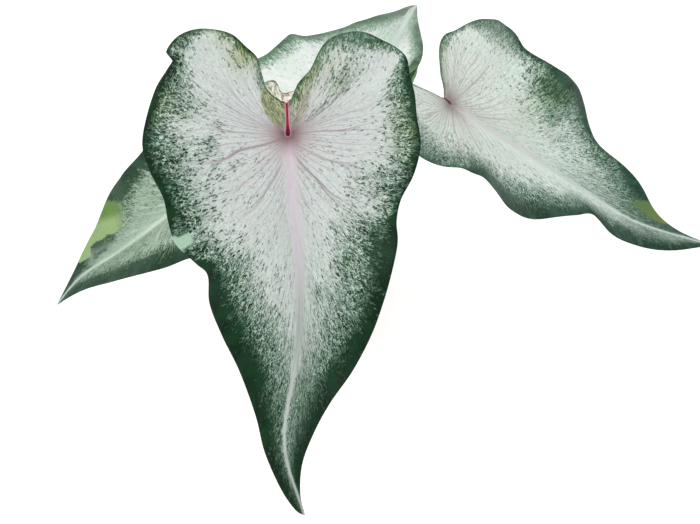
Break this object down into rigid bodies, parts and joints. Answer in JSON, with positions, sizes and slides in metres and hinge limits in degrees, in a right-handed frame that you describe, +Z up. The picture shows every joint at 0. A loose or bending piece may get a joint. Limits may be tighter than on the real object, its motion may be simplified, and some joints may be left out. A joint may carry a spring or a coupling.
{
  "type": "potted caladium",
  "caption": "Potted house plant with heart-shaped white and green leaves on long arching stalks in a round clay pot.",
  "frame": {"origin": "centre of the pot's flat underside, which is what the plant stands on", "axes": "+Z up, -Y towards the side that the largest leaf faces, +X to the right of someone looking at that leaf"},
  "size_m": [0.4258, 0.4532, 0.4027],
  "materials": {
    "blade": "thin satin leaf blade, near-white ground flecked green, deep green margin, pale pink midrib",
    "stalk": "smooth fleshy leaf stalk, olive green flushed reddish brown",
    "tuber": "corky brown tuber skin",
    "soil": "dark peaty potting soil with pale grains",
    "clay": "unglazed fired clay with light mineral bloom"
  },
  "bodies": {
    "root": {"leaf_front": "blade", "leaf_right": "blade", "leaf_left": "blade", "leaf_back": "blade", "petiole_front": "stalk", "petiole_right": "stalk", "petiole_left": "stalk", "petiole_back": "stalk", "tuber": "tuber", "soil": "soil", "pot": "clay"}
  },
  "joints": []
}
